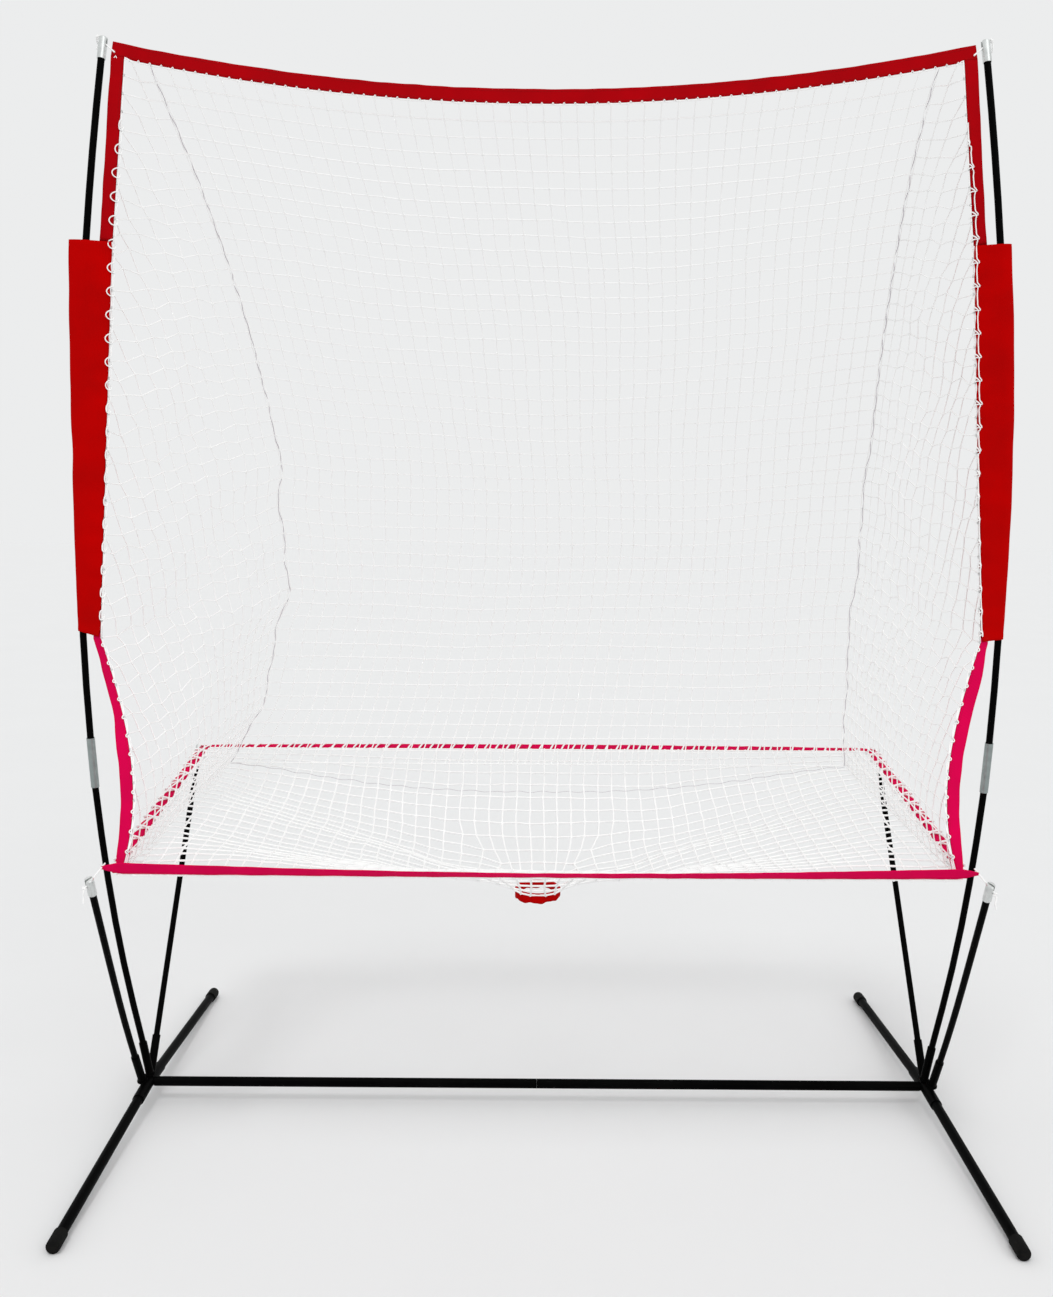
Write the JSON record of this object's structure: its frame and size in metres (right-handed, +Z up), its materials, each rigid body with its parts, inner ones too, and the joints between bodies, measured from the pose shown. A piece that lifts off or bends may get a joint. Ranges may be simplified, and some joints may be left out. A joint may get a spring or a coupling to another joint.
{
  "type": "tennis ball catch net",
  "caption": "Free-standing practice net: knock-down steel base, bowed poles with cloth sleeves, pocket net, and a laced tray net that funnels balls to an outlet ring.",
  "frame": {"origin": "on the floor, under the middle of the crossbar", "axes": "+X along the crossbar, to the right as the player sees it; +Y away from the player; +Z up"},
  "size_m": [1.9282, 1.217, 2.3134],
  "materials": {
    "black_steel": "satin black powder coat",
    "black_fibreglass": "black pultruded fibreglass rod",
    "bright_metal": "bright drawn metal",
    "spring_steel": "plain rolled strip",
    "black_rubber": "matte",
    "white_net": "knotted white twine",
    "red_cloth": "plain-woven red cloth, hemmed",
    "rose_webbing": "rose-red binding tape",
    "white_cord": "white cord"
  },
  "bodies": {
    "frame": {"hub_left": "black_steel", "hub_right": "black_steel", "crossbar_left": "black_steel", "crossbar_right": "black_steel", "crossbar_joiner": "bright_metal", "leg_front_left": "black_steel", "leg_front_right": "black_steel", "leg_rear_left": "black_steel", "leg_rear_right": "black_steel", "foot_cap_front_left": "black_rubber", "foot_cap_front_right": "black_rubber", "foot_cap_rear_left": "black_rubber", "foot_cap_rear_right": "black_rubber", "leg_front_clip_left": "spring_steel", "leg_front_clip_right": "spring_steel", "leg_rear_clip_left": "spring_steel", "leg_rear_clip_right": "spring_steel", "crossbar_clip_left": "spring_steel", "crossbar_clip_right": "spring_steel", "joiner_clip": "spring_steel", "main_pole_lower_left": "black_fibreglass", "main_pole_lower_right": "black_fibreglass", "main_pole_upper_left": "black_fibreglass", "main_pole_upper_right": "black_fibreglass", "pole_ferrule_left": "bright_metal", "pole_ferrule_right": "bright_metal", "front_pole_left": "black_fibreglass", "front_pole_right": "black_fibreglass", "rear_pole_left": "black_fibreglass", "rear_pole_right": "black_fibreglass", "main_pole_tip_left": "bright_metal", "main_pole_tip_right": "bright_metal", "front_pole_tip_left": "bright_metal", "front_pole_tip_right": "bright_metal", "rear_pole_tip_left": "bright_metal", "rear_pole_tip_right": "bright_metal", "top_trim": "red_cloth", "side_trim_upper_left": "red_cloth", "side_trim_upper_right": "red_cloth", "pole_sleeve_left": "red_cloth", "pole_sleeve_right": "red_cloth", "side_trim_lower_left": "rose_webbing", "side_trim_lower_right": "rose_webbing", "tray_trim_front": "rose_webbing", "tray_trim_rear": "rose_webbing", "tray_trim_side_left": "rose_webbing", "tray_trim_side_right": "rose_webbing", "net_side_left": "white_net", "net_side_right": "white_net", "net_back": "white_net", "net_tray": "white_net", "outlet_collar": "red_cloth", "outlet_hoop": "white_cord"},
    "leg_front_button_left": {"leg_front_button_left": "bright_metal"},
    "leg_front_button_right": {"leg_front_button_right": "bright_metal"},
    "leg_rear_button_left": {"leg_rear_button_left": "bright_metal"},
    "leg_rear_button_right": {"leg_rear_button_right": "bright_metal"},
    "crossbar_button_left": {"crossbar_button_left": "bright_metal"},
    "crossbar_button_right": {"crossbar_button_right": "bright_metal"},
    "joiner_button": {"joiner_button": "bright_metal"}
  },
  "joints": [
    {"name": "leg_front_button_left_press", "type": "slide", "parent": "frame", "child": "leg_front_button_left", "axis": [1, 0, 0], "range_m": [0, 0.0042], "stiffness_N_per_m": 1500, "springref_m": -0.001},
    {"name": "leg_front_button_right_press", "type": "slide", "parent": "frame", "child": "leg_front_button_right", "axis": [-1, 0, 0], "range_m": [0, 0.0042], "stiffness_N_per_m": 1500, "springref_m": -0.001},
    {"name": "leg_rear_button_left_press", "type": "slide", "parent": "frame", "child": "leg_rear_button_left", "axis": [1, 0, 0], "range_m": [0, 0.0042], "stiffness_N_per_m": 1500, "springref_m": -0.001},
    {"name": "leg_rear_button_right_press", "type": "slide", "parent": "frame", "child": "leg_rear_button_right", "axis": [-1, 0, 0], "range_m": [0, 0.0042], "stiffness_N_per_m": 1500, "springref_m": -0.001},
    {"name": "crossbar_button_left_press", "type": "slide", "parent": "frame", "child": "crossbar_button_left", "axis": [0, -1, 0], "range_m": [0, 0.0039], "stiffness_N_per_m": 1500, "springref_m": -0.001},
    {"name": "crossbar_button_right_press", "type": "slide", "parent": "frame", "child": "crossbar_button_right", "axis": [0, -1, 0], "range_m": [0, 0.0039], "stiffness_N_per_m": 1500, "springref_m": -0.001},
    {"name": "joiner_button_press", "type": "slide", "parent": "frame", "child": "joiner_button", "axis": [0, -1, 0], "range_m": [0, 0.0039], "stiffness_N_per_m": 1500, "springref_m": -0.001}
  ]
}
